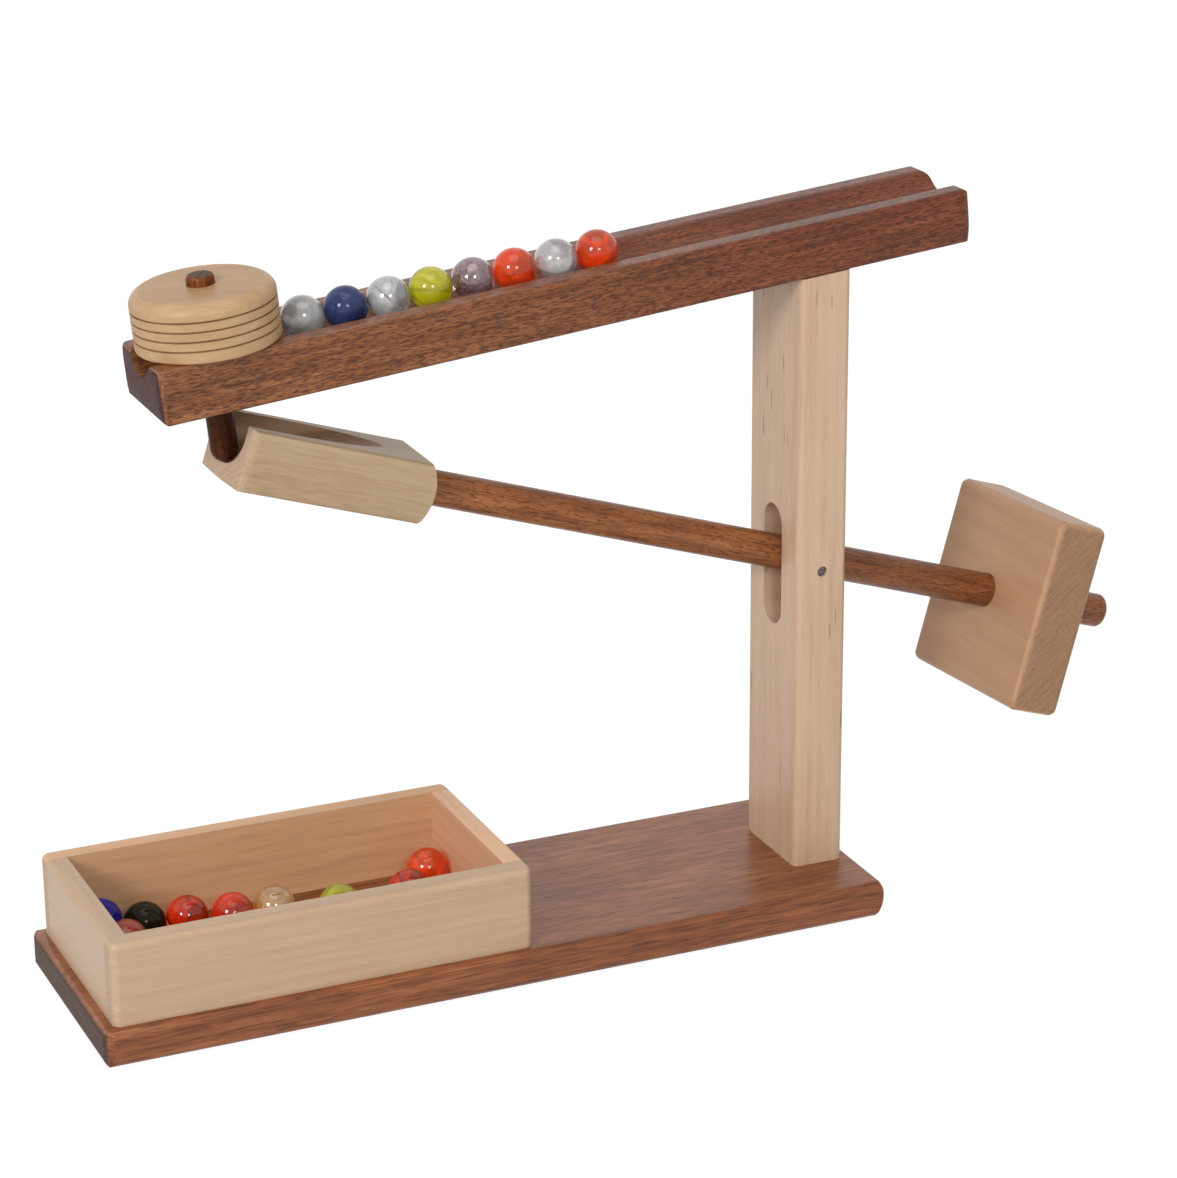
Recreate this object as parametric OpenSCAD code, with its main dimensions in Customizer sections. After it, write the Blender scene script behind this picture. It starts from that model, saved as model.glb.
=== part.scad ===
// Wooden marble machine: a sloping marble track on a post, a gate, a balanced scoop and a catch box.
// Origin: centre of the underside of the base. X along the base, Z up. Millimetres.

/* [Base and box] */
// Length of the base board
base_length = 296; // [280:1:320]
// Width of the base board
base_width = 92.3; // [88:0.1:100]
// Thickness of the base board
base_thick = 13.5; // [10:0.1:18]
// Rounding of the long top edges of the base
base_edge = 3; // [1:0.5:5]
// Rounding of the lower edges of the base and of the top edge at its left end
base_low_edge = 2.8; // [0.5:0.1:3]
// Rounding of the upright corners at the left end of the base
base_corner = 4.5; // [1:0.5:6]
// Height at which the right end of the base bulges most, as a share of its thickness
base_bulge_level = 0.63; // [0.5:0.01:0.75]
// Radius of the bulge at the right end of the base, as a share of its thickness
base_bulge_round = 0.89; // [0.8:0.01:1.2]
// How far the box stands in from the left end of the base
box_inset = 4.2; // [1:0.1:10]
// Outside length of the box
box_length = 153.9; // [148:0.1:170]
// How far the box stands in from each long edge of the base
box_side_inset = 3.55; // [1:0.05:8]
// Height of the box walls
box_height = 30.5; // [24:0.5:34]
// Thickness of the box walls
box_wall = 7.8; // [5:0.1:10]
// Rounding of the outer top edges of the box
box_edge = 2; // [0.5:0.1:3]
// Rounding of the upright outer corners of the box
box_corner = 3; // [0.5:0.1:4]

/* [Post] */
// Middle of the post from the right end of the base
post_inset = 13.85; // [13.5:0.05:24]
// Width of the post along the base
post_width = 20; // [16:0.1:22]
// Depth of the post across the base
post_depth = 40; // [38:0.1:44]
// Rounding of the upright edges of the post
post_edge = 2.5; // [1:0.5:4]
// Room on each side of the rod in the slot of the post
slot_room = 0.75; // [0.4:0.05:1.5]
// Height of the slot
slot_height = 46; // [44:1:54]
// Height of the middle of the slot
slot_z = 126.6; // [124:0.1:130]

/* [Track] */
// Slope of the track
track_slope = 5.62; // [4:0.01:7]
// Height of the underside of the track at the track's zero point
track_z = 227.17; // [220:0.01:235]
// Level distance from the track's zero point to the post
track_reach = 117.9; // [114:0.1:121]
// Left end of the track along its own line
track_left = -126.5; // [-132:0.5:-124]
// Right end of the track along its own line
track_right = 177; // [165:0.5:185]
// Width of the track
track_width = 41; // [40:0.5:46]
// Height of the track
track_height = 19.5; // [18.5:0.1:23]
// Depth of the marble groove
groove_depth = 6.85; // [5:0.05:8]
// How far the ends of the track bulge
track_bulge = 1; // [0.5:0.1:3]
// How high above the middle of the track its right end bulges most
track_bulge_rise = 5.5; // [0:0.5:7]
// Radius of the marble groove
groove_radius = 12.25; // [10:0.05:14]
// Rounding of the lips of the marble groove
lip_round = 5; // [2:0.1:6]
// Rounding of the long edges of the track
track_edge = 1.5; // [0.5:0.1:3]
// Rounding of the corners at the ends of the track
track_corner = 3.5; // [0.5:0.1:4]

/* [Gate] */
// Place of the gate along the track
gate_u = -101.2; // [-103:0.1:-100]
// Diameter of the gate disc
disc_d = 49.5; // [47:0.5:53]
// Thickness of the gate disc
disc_thick = 20; // [17:0.5:23]
// Rounding of the top edge of the disc
disc_edge = 4.5; // [1:0.5:5]
// Diameter of the gate peg
peg_d = 9.6; // [8:0.1:11]
// How far the peg stands above the disc
peg_above = 3.5; // [1:0.1:8]
// Height of the lowest groove round the disc
ring_first = 4; // [2:0.1:4.5]
// Spacing of the four grooves round the disc
ring_pitch = 3.3; // [2:0.1:3.4]
// Width of a groove round the disc
ring_width = 0.7; // [0.3:0.1:1]
// Depth of a groove round the disc
ring_depth = 0.5; // [0.2:0.1:1]
// How much wider the drop hole under the disc is than a marble
drop_room = 2.4; // [1.5:0.1:3]
// How far the drop hole lies in from the edge of the disc
drop_inset = 1.1; // [0.5:0.1:1.5]

/* [Arm] */
// Slope of the arm at rest
arm_slope = 17.94; // [17:0.01:18.5]
// Diameter of the rod
rod_d = 12.7; // [11:0.1:13]
// Rounding of the rod's right end
rod_end = 2; // [0.5:0.1:3]
// Right end of the rod from the pivot
rod_right = 136; // [130:0.5:140]
// How far the rod goes into the scoop
tenon_length = 19; // [14:0.5:22]
// Diameter of the pivot pin
pin_d = 3.8; // [2.5:0.1:5]
// Height of the pivot above the middle of the slot
pivot_rise = 1.6; // [0:0.1:3]
// Left end of the scoop from the pivot
scoop_left = -229.5; // [-233:0.5:-228]
// Right end of the scoop from the pivot
scoop_right = -155; // [-160:0.5:-150]
// Width of the scoop
scoop_width = 32; // [28:0.5:36]
// Top of the scoop above the rod's line
scoop_top = 11.4; // [10:0.1:12]
// Underside of the scoop below the rod's line
scoop_under = 10.4; // [9.5:0.1:12]
// Rounding of the scoop's long edges
scoop_edge = 2; // [0.5:0.1:2]
// Rounding of the corners at the scoop's left end
scoop_corner = 3.5; // [1:0.1:4]
// How far the right end of the scoop bulges
scoop_bulge = 3.5; // [1:0.1:5]
// How far the left end of the scoop is cut back at its front corner
scoop_skew = 4.6; // [0:0.1:5]
// Width of the groove in the scoop
scoop_groove = 21; // [16.8:0.1:24]
// Height of the groove floor at the left end, from the rod's line
scoop_floor = -5.2; // [-6:0.1:-3]
// Slope of the groove floor against the rod
scoop_ramp = 16.1; // [12:0.1:18]
// Height of the counterweight, square to the rod
weight_side = 72.5; // [60:0.5:80]
// Width of the counterweight across the machine
weight_width = 74.5; // [60:0.5:80]
// How far the bore lies above the middle of the counterweight
weight_drop = 0.5; // [0:0.1:2]
// Thickness of the counterweight
weight_thick = 20.8; // [14:0.1:24]
// Middle of the counterweight from the pivot
weight_at = 93.8; // [85:0.1:105]
// Twist of the counterweight about the rod
weight_twist = 3.5; // [0:0.1:6]
// Rounding of the counterweight's edges
weight_edge = 3; // [1:0.5:5]

/* [Marbles] */
// Diameter of a marble
marble_d = 15.2; // [14:0.1:15.3]
// Gap between neighbouring marbles
marble_gap = 0.34; // [0.3:0.01:0.6]
// Gap between the first waiting marble and the disc
gate_gap = 1; // [0.3:0.1:1.5]

/* [Fits] */
// Gap between pieces that move apart
free_gap = 0.3; // [0.2:0.05:0.6]
// Gap round a turning or sliding shaft
running_gap = 0.08; // [0.03:0.01:0.1]
// Gap round a glued pin
glue_gap = 0.05; // [0.02:0.01:0.1]
// Gap round the peg where it passes through the track
peg_gap = 0.4; // [0.3:0.05:0.8]

/* [Hidden] */
$fn = 72;

post_x = base_length / 2 - post_inset;
pivot_z = slot_z + pivot_rise;
slot_width = rod_d + 2 * slot_room;
rod_left = scoop_right - tenon_length;
drop_d = marble_d + drop_room;
drop_u = gate_u + disc_d / 2 - drop_d / 2 - drop_inset;
marble_pitch = marble_d + marble_gap;
first_marble_u = gate_u + disc_d / 2 + gate_gap + marble_d / 2;
base_bulge_z = base_bulge_level * base_thick;
base_bulge_r = base_bulge_round * base_thick;
box_left = -base_length / 2 + box_inset;
box_right = box_left + box_length;
box_width = base_width - 2 * box_side_inset;
box_inner_half = box_width / 2 - box_wall;
track_x = post_x - track_reach;
marble_r = marble_d / 2;
marble_lift = 0.15;
marble_n = track_height - groove_depth + marble_r + marble_lift;
groove_n = track_height - groove_depth + groove_radius;
lip_z = track_height - lip_round;
lip_y = sqrt(pow(groove_radius + lip_round, 2) - pow(groove_n - lip_z, 2));
lip_turn = atan2(lip_y, groove_n - lip_z);
lip_steps = 6;
groove_reach = scoop_groove / 2;
corner_steps = 6;
tray_z = base_thick + marble_r + marble_lift;

// Foot of the peg: a ball end held just clear of the sloping floor of the scoop's groove
peg_r = peg_d / 2;
floor_slope = arm_slope - scoop_ramp;
floor_x = post_x + scoop_left * cos(arm_slope) + scoop_floor * sin(arm_slope);
floor_z = pivot_z - scoop_left * sin(arm_slope) + scoop_floor * cos(arm_slope);
gate_x = track_x + gate_u * cos(track_slope);
gate_z = track_z + gate_u * sin(track_slope);
floor_drop = (floor_x - gate_x) * sin(floor_slope) + (floor_z - gate_z) * cos(floor_slope);
axis_share = cos(track_slope + floor_slope);
peg_ball_n = (floor_drop + peg_r + free_gap) / axis_share;
peg_top_n = track_height + disc_thick + peg_above;
disc_lift = 0.02;

dowel_d = 8;
dowel_y = 13;
dowel_up = 10;
dowel_down = 14;
dowel_u = (post_x - track_x) / cos(track_slope);
screw_d = 4;
screw_head_d = 8;
screw_head_h = 3;
screw_length = 38;
screw_y = 10;

dark_wood = [0.42, 0.22, 0.16];
light_wood = [0.82, 0.69, 0.55];
steel = [0.6, 0.6, 0.62];
clear_glass = [0.85, 0.87, 0.86];
blue_glass = [0.2, 0.2, 0.6];
slate_glass = [0.4, 0.46, 0.55];
green_glass = [0.72, 0.75, 0.25];
violet_glass = [0.75, 0.7, 0.8];
red_glass = [0.82, 0.25, 0.14];
dark_red_glass = [0.55, 0.15, 0.1];
black_glass = [0.13, 0.12, 0.08];
amber_glass = [0.85, 0.75, 0.55];

queue_colors = [clear_glass, slate_glass, clear_glass, green_glass, violet_glass, red_glass,
    clear_glass, red_glass];
tray_colors = [blue_glass, dark_red_glass, black_glass, red_glass, red_glass, amber_glass,
    green_glass, red_glass, red_glass];

// Places of the loose marbles: from the inner left wall, then from the inner rear wall
tray_left_places = [[8.84, marble_r + free_gap], [12.13, 28.44], [22.21, 16.69], [37.66, 17.78],
    [53.13, 22.3], [68.6, 22.77]];
// Place of the seventh: its share of the way from the sixth to the eighth, then from the inner rear wall
tray_middle_place = [0.443, 31.5];
// Places of the last two, from the inner right wall and the inner rear wall
tray_right_places = [[20.7, 29.8], [marble_r + free_gap, 15]];

// Rectangle with round corners, centred
module round_rect(length, width, radius) {
    square([length - 2 * radius, width], center = true);
    square([length, width - 2 * radius], center = true);
    for (x = [-1, 1], y = [-1, 1])
        translate([x * (length / 2 - radius), y * (width / 2 - radius)]) circle(r = radius);
}

// Places children in the track's own frame: X along the track, Z square to it from the underside
module on_track() {
    translate([track_x, 0, track_z]) rotate([0, -track_slope, 0]) children();
}

// Places children in the arm's own frame: X along the rod from the pivot
module on_arm() {
    translate([post_x, 0, pivot_z]) rotate([0, arm_slope, 0]) children();
}

// Profile in X and Z whose right end bulges, most at the given height above its middle
module right_bulge(left, right, low, high, bulge, rise = 0) {
    half = (high - low) / 2;
    radius = (half * half + bulge * bulge) / (2 * bulge);
    intersection() {
        translate([left, low]) square([right - left, high - low]);
        union() {
            translate([right - radius, (low + high) / 2 + rise]) circle(r = radius, $fn = 360);
            translate([left, low]) square([right - radius - left, high - low]);
        }
    }
}

// Base board with rounded edges, rounded left corners, a bulged right end and clearance for the screws
module base_board() {
    color(dark_wood) difference() {
        intersection() {
            rotate([90, 0, 90]) linear_extrude(height = base_length + 2, center = true) union() {
                translate([-base_width / 2, base_low_edge])
                    square([base_width, base_thick - base_edge - base_low_edge]);
                translate([-base_width / 2 + base_edge, 0])
                    square([base_width - 2 * base_edge, base_thick]);
                for (side = [-1, 1]) {
                    translate([side * (base_width / 2 - base_edge), base_thick - base_edge])
                        circle(r = base_edge);
                    translate([side * (base_width / 2 - base_low_edge), base_low_edge])
                        circle(r = base_low_edge);
                }
            }
            rotate([90, 0, 0]) linear_extrude(height = base_width + 2, center = true) union() {
                translate([-base_length / 2, base_low_edge])
                    square([base_length - base_bulge_r, base_thick - 2 * base_low_edge]);
                translate([-base_length / 2 + base_low_edge, 0])
                    square([base_length - base_bulge_r - base_low_edge, base_thick]);
                for (level = [base_low_edge, base_thick - base_low_edge])
                    translate([-base_length / 2 + base_low_edge, level]) circle(r = base_low_edge);
                intersection() {
                    translate([base_length / 2 - base_bulge_r, base_bulge_z])
                        circle(r = base_bulge_r, $fn = 180);
                    square([base_length, base_thick]);
                }
            }
            linear_extrude(height = base_thick + 1) union() {
                translate([-base_length / 2 + base_corner, -base_width / 2])
                    square([base_length, base_width]);
                translate([-base_length / 2, -base_width / 2 + base_corner])
                    square([base_length, base_width - 2 * base_corner]);
                for (side = [-1, 1])
                    translate([-base_length / 2 + base_corner, side * (base_width / 2 - base_corner)])
                        circle(r = base_corner);
            }
        }
        for (side = [-1, 1]) translate([post_x, side * screw_y, -1]) {
            cylinder(d = screw_d + 2 * glue_gap, h = base_thick + 2);
            cylinder(d = screw_head_d + 2 * glue_gap, h = screw_head_h + 2);
        }
    }
}

// Upright section of the box from end to end, with rounded top corners
module box_section(width) {
    translate([-width / 2, 0]) square([width, box_height - box_edge]);
    translate([-width / 2 + box_edge, 0]) square([width - 2 * box_edge, box_height]);
    for (side = [-1, 1])
        translate([side * (width / 2 - box_edge), box_height - box_edge]) circle(r = box_edge);
}

// The outside of the box as one block
module box_block() {
    translate([(box_left + box_right) / 2, 0, base_thick]) intersection() {
        linear_extrude(height = box_height) round_rect(box_length, box_width, box_corner);
        rotate([90, 0, 90]) linear_extrude(height = box_length + 2, center = true)
            box_section(box_width);
        rotate([90, 0, 0]) linear_extrude(height = box_width + 2, center = true)
            box_section(box_length);
    }
}

// Long wall of the box, over the ends of the short walls
module long_wall() {
    intersection() {
        box_block();
        translate([box_left - 1, -box_width / 2 - 1, base_thick - 1])
            cube([box_length + 2, box_wall + 1, box_height + 2]);
    }
}

// Short wall of the box from one place to another along the base, standing between the long walls
module short_wall(from, to) {
    intersection() {
        box_block();
        translate([from, -box_inner_half, base_thick - 1])
            cube([to - from, 2 * box_inner_half, box_height + 2]);
    }
}

module box_front_wall() {
    color(light_wood) long_wall();
}

module box_rear_wall() {
    color(light_wood) mirror([0, 1, 0]) long_wall();
}

module box_left_wall() {
    color(light_wood) short_wall(box_left - 1, box_left + box_wall);
}

module box_right_wall() {
    color(light_wood) short_wall(box_right - box_wall, box_right + 1);
}

// Post with its top cut to the slope of the track, a slot for the rod and a bore for the pin
module post() {
    color(light_wood) difference() {
        translate([post_x, 0, base_thick]) linear_extrude(height = track_z)
            round_rect(post_width, post_depth, post_edge);
        on_track() translate([0, -100, 0]) cube([300, 200, 200]);
        translate([post_x, 0, slot_z]) rotate([90, 0, 90])
            linear_extrude(height = post_width + 2, center = true) union() {
                square([slot_width, slot_height - slot_width], center = true);
                for (side = [-1, 1])
                    translate([0, side * (slot_height - slot_width) / 2]) circle(d = slot_width);
            }
        translate([post_x, 0, pivot_z]) rotate([90, 0, 0])
            cylinder(d = pin_d + 2 * glue_gap, h = post_depth + 2, center = true);
        for (side = [-1, 1]) {
            translate([post_x, side * screw_y, 0])
                cylinder(d = screw_d + 2 * glue_gap, h = screw_length + 1);
            on_track() translate([dowel_u, side * dowel_y, -dowel_down - 0.5])
                cylinder(d = dowel_d + 2 * glue_gap, h = dowel_down + 1);
        }
    }
}

// Two screws from under the base into the post
module post_screws() {
    color(steel) for (side = [-1, 1]) translate([post_x, side * screw_y, 0.5]) {
        cylinder(d = screw_head_d, h = screw_head_h - 0.5);
        cylinder(d = screw_d, h = screw_length - 0.5);
    }
}

// Section in Y and Z of what is taken off the right lip of the groove to round it
module lip_cut() {
    polygon([
        [0, track_height + 1],
        [lip_y, track_height + 1],
        for (step = [0:lip_steps]) let (angle = 90 + step * lip_turn / lip_steps)
            [lip_y + lip_round * cos(angle), lip_z + lip_round * sin(angle)]
    ]);
}

// Track with its marble groove, peg hole, drop hole and dowel holes
module track() {
    color(dark_wood) on_track() difference() {
        intersection() {
            rotate([90, 0, 0]) linear_extrude(height = track_width, center = true)
                intersection() {
                    right_bulge(track_left, track_right, 0, track_height, track_bulge, track_bulge_rise);
                    mirror([1, 0, 0]) right_bulge(-track_right, -track_left, 0, track_height, track_bulge);
                }
            translate([track_left - 1, 0, 0]) rotate([90, 0, 90])
                linear_extrude(height = track_right - track_left + 2)
                    translate([0, track_height / 2]) round_rect(track_width, track_height, track_edge);
            translate([(track_left + track_right) / 2, 0, -1]) linear_extrude(height = track_height + 2)
                round_rect(track_right - track_left, track_width, track_corner);
            translate([(track_left + track_right) / 2, 0, track_height / 2]) rotate([90, 0, 0])
                linear_extrude(height = track_width + 2, center = true)
                    round_rect(track_right - track_left, track_height, track_corner);
        }
        translate([track_left - 5, 0, groove_n]) rotate([0, 90, 0])
            cylinder(r = groove_radius, h = track_right - track_left + 10);
        translate([track_left - 5, 0, 0]) rotate([90, 0, 90])
            linear_extrude(height = track_right - track_left + 10) {
                lip_cut();
                mirror([1, 0, 0]) lip_cut();
            }
        translate([gate_u, 0, -1]) cylinder(d = peg_d + 2 * peg_gap, h = track_height + 2);
        translate([drop_u, 0, -1]) cylinder(d = drop_d, h = track_height + 2);
        for (side = [-1, 1]) translate([dowel_u, side * dowel_y, -1])
            cylinder(d = dowel_d + 2 * glue_gap, h = dowel_up + 1.5);
    }
}

// Two hidden dowels between the post and the track
module track_dowels() {
    color(light_wood) on_track() for (side = [-1, 1])
        translate([dowel_u, side * dowel_y, -dowel_down])
            cylinder(d = dowel_d, h = dowel_down + dowel_up);
}

// Steel pin on which the arm turns
module pivot_pin() {
    color(steel) translate([post_x, 0, pivot_z]) rotate([90, 0, 0])
        cylinder(d = pin_d, h = post_depth - 2, center = true);
}

// Rod of the arm with a rounded right end, bored for the pin
module arm_rod() {
    rod_length = rod_right - rod_left;
    color(dark_wood) on_arm() difference() {
        translate([rod_left, 0, 0]) rotate([0, 90, 0]) rotate_extrude() union() {
            square([rod_d / 2, rod_length - rod_end]);
            square([rod_d / 2 - rod_end, rod_length]);
            translate([rod_d / 2 - rod_end, rod_length - rod_end]) intersection() {
                circle(r = rod_end);
                square(rod_end);
            }
        }
        rotate([90, 0, 0]) cylinder(d = pin_d + 2 * running_gap, h = rod_d + 2, center = true);
    }
}

// Point of a rounded corner of the scoop, seen from above
function corner_point(centre, angle) = centre + scoop_corner * [cos(angle), sin(angle)];

// Plan of the scoop, with rounded corners at its skewed left end
module scoop_plan(length) {
    slant = norm([scoop_skew, scoop_width]) / scoop_width;
    end_angle = 180 + atan2(scoop_skew, scoop_width);
    front_x = scoop_skew * (1 - scoop_corner / scoop_width) + scoop_corner * slant;
    back_x = scoop_skew * scoop_corner / scoop_width + scoop_corner * slant;
    front = [front_x, scoop_corner];
    back = [back_x, scoop_width - scoop_corner];
    polygon([
        [length + 1, 0],
        [length + 1, scoop_width],
        for (step = [0:corner_steps])
            corner_point(back, 90 + step * (end_angle - 90) / corner_steps),
        for (step = [0:corner_steps])
            corner_point(front, end_angle + step * (270 - end_angle) / corner_steps)
    ]);
}

// Scoop with a sloping round-bottomed groove, open at its left end
module scoop() {
    scoop_length = scoop_right - scoop_left;
    color(light_wood) on_arm() difference() {
        intersection() {
            rotate([90, 0, 0]) linear_extrude(height = scoop_width + 2, center = true) intersection() {
                right_bulge(scoop_left, scoop_right, -scoop_under, scoop_top, scoop_bulge);
                union() {
                    translate([scoop_left, -scoop_under + scoop_corner]) square([scoop_length, 40]);
                    translate([scoop_left + scoop_corner, -scoop_under]) square([scoop_length, 40]);
                    translate([scoop_left + scoop_corner, -scoop_under + scoop_corner])
                        circle(r = scoop_corner);
                }
            }
            translate([scoop_left - 1, 0, (scoop_top - scoop_under) / 2]) rotate([90, 0, 90])
                linear_extrude(height = scoop_length + 2)
                    round_rect(scoop_width, scoop_top + scoop_under, scoop_edge);
            translate([scoop_left, -scoop_width / 2, -20]) linear_extrude(height = 40)
                scoop_plan(scoop_length);
        }
        translate([scoop_left, 0, scoop_floor]) rotate([0, -scoop_ramp, 0]) {
            translate([-20, 0, groove_reach]) rotate([0, 90, 0]) cylinder(r = groove_reach, h = 120);
            translate([-20, -groove_reach, groove_reach]) cube([120, scoop_groove, 60]);
        }
        translate([rod_left - free_gap, 0, 0]) rotate([0, 90, 0])
            cylinder(d = rod_d + 2 * glue_gap, h = scoop_right - rod_left + 10);
    }
}

// Square counterweight that slides on the rod
module counterweight() {
    color(light_wood) on_arm() translate([weight_at, 0, 0]) rotate([-weight_twist, 0, 0]) difference() {
        translate([0, 0, -weight_drop]) intersection() {
            rotate([90, 0, 90]) linear_extrude(height = weight_thick, center = true)
                round_rect(weight_width, weight_side, weight_edge);
            rotate([90, 0, 0]) linear_extrude(height = weight_width + 2, center = true)
                round_rect(weight_thick, weight_side, weight_edge);
            linear_extrude(height = weight_side + 2, center = true)
                round_rect(weight_thick, weight_width, weight_edge);
        }
        rotate([0, 90, 0]) cylinder(d = rod_d + 2 * running_gap, h = weight_thick + 2, center = true);
    }
}

// Disc of the gate, resting on the rails, with an eased lower edge and four grooves round its side
module gate_disc() {
    bore = peg_r + glue_gap;
    rim = disc_d / 2;
    ease = 0.8;
    color(light_wood) on_track() translate([gate_u, 0, track_height + disc_lift])
        rotate_extrude() difference() {
            union() {
                translate([bore, ease]) square([rim - bore, disc_thick - disc_edge - ease]);
                translate([bore, 0]) square([rim - ease - bore, disc_thick - disc_edge]);
                translate([bore, 0]) square([rim - disc_edge - bore, disc_thick]);
                translate([rim - ease, ease]) circle(r = ease);
                translate([rim - disc_edge, disc_thick - disc_edge]) circle(r = disc_edge);
            }
            for (i = [0:3]) translate([rim - ring_depth, ring_first + ring_pitch * i])
                square([ring_depth + 1, ring_width]);
        }
}

// Peg of the gate with ball ends
module gate_peg() {
    cap = 1.5;
    color(dark_wood) on_track() translate([gate_u, 0, 0]) {
        translate([0, 0, peg_ball_n]) sphere(r = peg_r);
        translate([0, 0, peg_ball_n]) cylinder(r = peg_r, h = peg_top_n - cap - peg_ball_n);
        translate([0, 0, peg_top_n - cap]) rotate_extrude() union() {
            square([peg_r - cap, cap]);
            intersection() {
                translate([peg_r - cap, 0]) circle(r = cap);
                square([peg_r, cap]);
            }
        }
    }
}

// One marble waiting on the track
module queue_marble(index) {
    color(queue_colors[index]) on_track()
        translate([first_marble_u + index * marble_pitch, 0, marble_n]) sphere(d = marble_d);
}

// Loose marble resting on the base, at a place along the box and a distance from its rear wall
module loose_marble(x, from_rear, shade) {
    color(shade) translate([x, box_inner_half - from_rear, tray_z]) sphere(d = marble_d);
}

// One of the loose marbles placed from the left wall of the box
module left_marble(index) {
    place = tray_left_places[index];
    loose_marble(box_left + box_wall + place[0], place[1], tray_colors[index]);
}

// Loose marble lying between the last one placed from the left wall and the first from the right
module middle_marble() {
    left_x = box_left + box_wall + tray_left_places[5][0];
    right_x = box_right - box_wall - tray_right_places[0][0];
    middle_x = left_x + (right_x - left_x) * tray_middle_place[0];
    loose_marble(middle_x, tray_middle_place[1], tray_colors[6]);
}

// One of the loose marbles placed from the right wall of the box
module right_marble(index) {
    place = tray_right_places[index];
    loose_marble(box_right - box_wall - place[0], place[1], tray_colors[index + 7]);
}

base_board();
box_front_wall();
box_rear_wall();
box_left_wall();
box_right_wall();
post();
post_screws();
track();
track_dowels();
pivot_pin();
arm_rod();
scoop();
counterweight();
gate_disc();
gate_peg();
queue_marble(0);  // queue_marble_1
queue_marble(1);  // queue_marble_2
queue_marble(2);  // queue_marble_3
queue_marble(3);  // queue_marble_4
queue_marble(4);  // queue_marble_5
queue_marble(5);  // queue_marble_6
queue_marble(6);  // queue_marble_7
queue_marble(7);  // queue_marble_8
left_marble(0);  // tray_marble_1
left_marble(1);  // tray_marble_2
left_marble(2);  // tray_marble_3
left_marble(3);  // tray_marble_4
left_marble(4);  // tray_marble_5
left_marble(5);  // tray_marble_6
middle_marble();  // tray_marble_7
right_marble(0);  // tray_marble_8
right_marble(1);  // tray_marble_9
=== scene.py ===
from math import cos, pi, radians, sin, sqrt

import bmesh
import bpy
from mathutils import Matrix, Vector


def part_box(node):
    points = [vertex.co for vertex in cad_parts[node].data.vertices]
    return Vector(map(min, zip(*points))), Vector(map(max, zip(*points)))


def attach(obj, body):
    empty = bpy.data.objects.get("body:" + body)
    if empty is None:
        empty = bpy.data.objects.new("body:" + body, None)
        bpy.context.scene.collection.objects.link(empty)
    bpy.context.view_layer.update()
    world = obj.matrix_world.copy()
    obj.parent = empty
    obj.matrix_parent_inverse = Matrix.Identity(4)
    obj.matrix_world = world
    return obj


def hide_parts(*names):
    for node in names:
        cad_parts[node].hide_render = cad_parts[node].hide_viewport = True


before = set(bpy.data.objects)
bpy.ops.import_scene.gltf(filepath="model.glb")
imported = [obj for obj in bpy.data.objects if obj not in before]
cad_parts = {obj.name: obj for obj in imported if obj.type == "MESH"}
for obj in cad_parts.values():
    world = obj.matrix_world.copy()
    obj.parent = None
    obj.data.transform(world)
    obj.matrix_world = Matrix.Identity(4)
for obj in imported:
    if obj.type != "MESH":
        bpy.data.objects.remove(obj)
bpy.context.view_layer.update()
scene = bpy.context.scene
scene.view_settings.view_transform = "Standard"
mm = 0.001
print("frame loaded:", len(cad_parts), "nodes")

# lines of the machine that the grain and the grooves follow
trackLine = {"start": Vector((16.25, 0, 227.17)) * mm, "slope": radians(5.62)}
armLine = {"start": Vector((134.15, 0, 128.2)) * mm, "slope": radians(17.94)}
trackSpace = Matrix.Translation(trackLine["start"]) @ Matrix.Rotation(-trackLine["slope"], 4, "Y")
armSpace = Matrix.Translation(armLine["start"]) @ Matrix.Rotation(armLine["slope"], 4, "Y")


# camera

cameraView = {
    "azimuth": -23.555,
    "elevation": 20.003,
    "roll": -0.445,
    "target": (50.82, 0, 127.713),
    "distance": 1324.29,
    "lens": 113.386,
    "sensor": 36,
    "nearest": 0.01,
}


def placeCamera(values):
    side = radians(values["azimuth"])
    rise = radians(values["elevation"])
    tilt = radians(values["roll"])
    right = Vector((cos(side), sin(side), 0))
    back = Vector((sin(side) * cos(rise), -cos(side) * cos(rise), sin(rise)))
    up = back.cross(right)
    turnedRight = right * cos(tilt) + up * sin(tilt)
    turnedUp = up * cos(tilt) - right * sin(tilt)
    data = bpy.data.cameras.new("productCamera")
    data.lens = values["lens"]
    data.sensor_width = values["sensor"]
    data.clip_start = values["nearest"]
    camera = bpy.data.objects.new("productCamera", data)
    scene.collection.objects.link(camera)
    spot = (Vector(values["target"]) + back * values["distance"]) * mm
    axes = Matrix((turnedRight, turnedUp, back)).transposed().to_4x4()
    camera.matrix_world = Matrix.Translation(spot) @ axes
    scene.camera = camera


placeCamera(cameraView)
print("camera placed")


# studio: pale floor, white surround, two soft lamps beside the camera and one overhead

studioValues = {
    "floorSize": 8.0,
    "floorDrop": 0.0002,
    "aim": (0.02, 0, 0.12),
    "white": (1, 1, 1, 1),
    "floorTone": (0.82, 0.82, 0.82, 1),
    "floorGlow": 0.93,
    "floorShade": (0.13, 0.13, 0.13, 1),
    "fillStrength": 0.47,
    "lamps": [
        # name, degrees round from the camera, degrees above the horizon, distance, size, watts
        ("softboxLeft", -34, 27, 3.0, 0.85, 37.0),
        ("softboxRight", 14, 27, 3.0, 0.72, 17.0),
        ("overhead", -10, 78, 2.4, 1.8, 14.0),
    ],
}


def addNode(tree, kind, settings=None, **fields):
    node = tree.nodes.new(kind)
    for key, value in fields.items():
        setattr(node, key, value)
    for key, value in (settings or {}).items():
        node.inputs[key].default_value = value
    return node


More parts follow.
